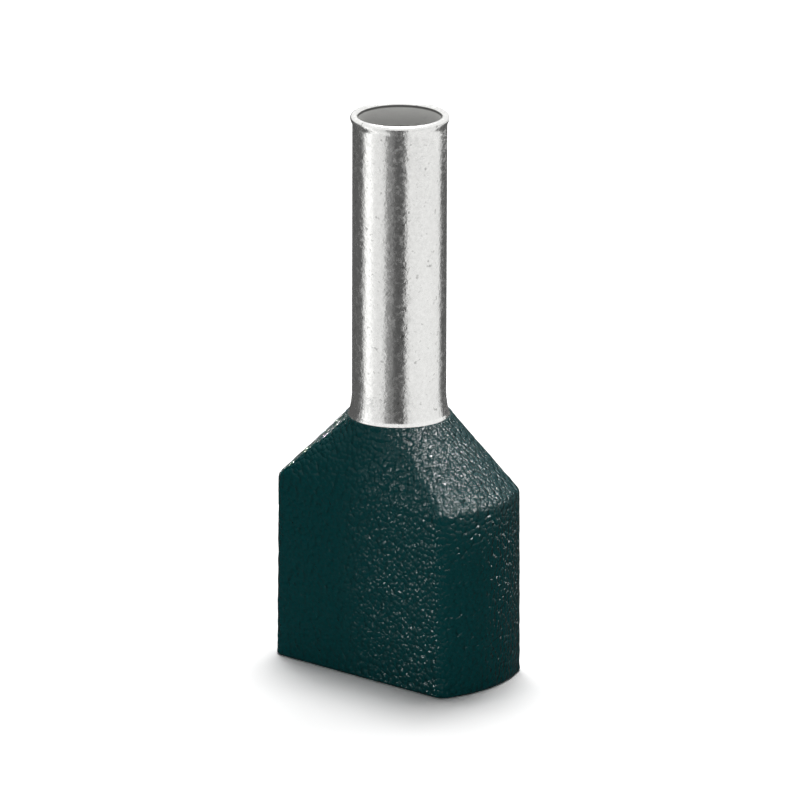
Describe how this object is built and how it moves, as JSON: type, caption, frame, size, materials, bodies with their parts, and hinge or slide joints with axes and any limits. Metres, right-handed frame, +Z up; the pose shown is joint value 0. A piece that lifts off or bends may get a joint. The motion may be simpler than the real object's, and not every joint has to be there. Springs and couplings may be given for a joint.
{
  "type": "wire ferrule",
  "caption": "Twin wire end ferrule: a straight tinned tube with a rolled rim, held in an oblong moulded collar with sloping shoulders.",
  "frame": {"origin": "middle of the collar's mouth, on the plane it stands on", "axes": "+Z up along the sleeve; X is the long way of the mouth and Y the short way"},
  "size_m": [0.0068, 0.0036, 0.0158],
  "materials": {
    "tinned_copper": "bright tin plating, lightly mottled",
    "collar_plastic": "moulded, fine spark-eroded grain"
  },
  "bodies": {
    "root": {"sleeve": "tinned_copper", "collar": "collar_plastic"}
  },
  "joints": []
}
